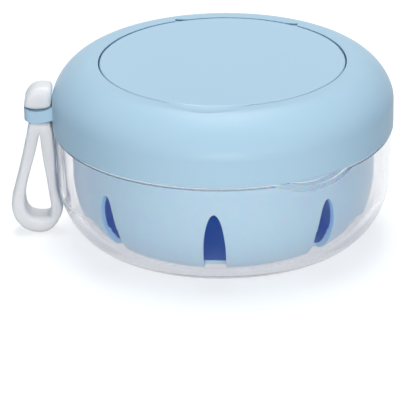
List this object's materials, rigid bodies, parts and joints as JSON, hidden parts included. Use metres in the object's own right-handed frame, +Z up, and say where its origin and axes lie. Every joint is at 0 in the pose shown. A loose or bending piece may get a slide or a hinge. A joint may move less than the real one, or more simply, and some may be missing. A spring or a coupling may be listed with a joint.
{
  "type": "denture case",
  "caption": "Round denture bath case: clear bowl, hanging strainer basket, press-on lid with a flip-up mirror cover and a moulded hanging strap.",
  "frame": {"origin": "centre of the flat under the bowl, on the surface that the case stands on", "axes": "+Z up, towards the lid; -Y the front; the strap's lug is on -X"},
  "size_m": [0.1186, 0.105, 0.0557],
  "materials": {
    "clear_plastic": "clear moulded plastic, polished",
    "blue_basket": "light blue moulded plastic, satin",
    "blue_lid": "light blue moulded plastic, fine matte",
    "blue_cover": "light blue moulded plastic, fine matte",
    "seal_silicone": "translucent white silicone",
    "foam_pad": "white double-sided foam tape",
    "mirror_glass": "silvered glass",
    "strap_silicone": "white moulded silicone, fine matte"
  },
  "bodies": {
    "bowl": {"outer_bowl": "clear_plastic"},
    "basket": {"strainer_basket": "blue_basket"},
    "lid": {"lid_shell": "blue_lid", "lid_seal": "seal_silicone"},
    "cover": {"flip_cover": "blue_cover", "mirror_pad": "foam_pad", "mirror": "mirror_glass"},
    "strap": {"strap_loop": "strap_silicone"}
  },
  "joints": [
    {"name": "basket_lift", "type": "slide", "parent": "bowl", "child": "basket", "axis": [0, 0, 1], "range_m": [0, 0.045]},
    {"name": "lid_lift", "type": "slide", "parent": "basket", "child": "lid", "axis": [0, 0, 1], "range_m": [0, 0.05]},
    {"name": "cover_hinge", "type": "hinge", "parent": "lid", "child": "cover", "pos_m": [0.00466, 0.03317, 0.05485], "axis": [-0.9903, 0.1392, 0], "range_deg": [0, 95]},
    {"name": "strap_swing", "type": "hinge", "parent": "lid", "child": "strap", "pos_m": [-0.057, 0, 0.0504], "axis": [0, 1, 0], "range_deg": [0, 7]}
  ]
}
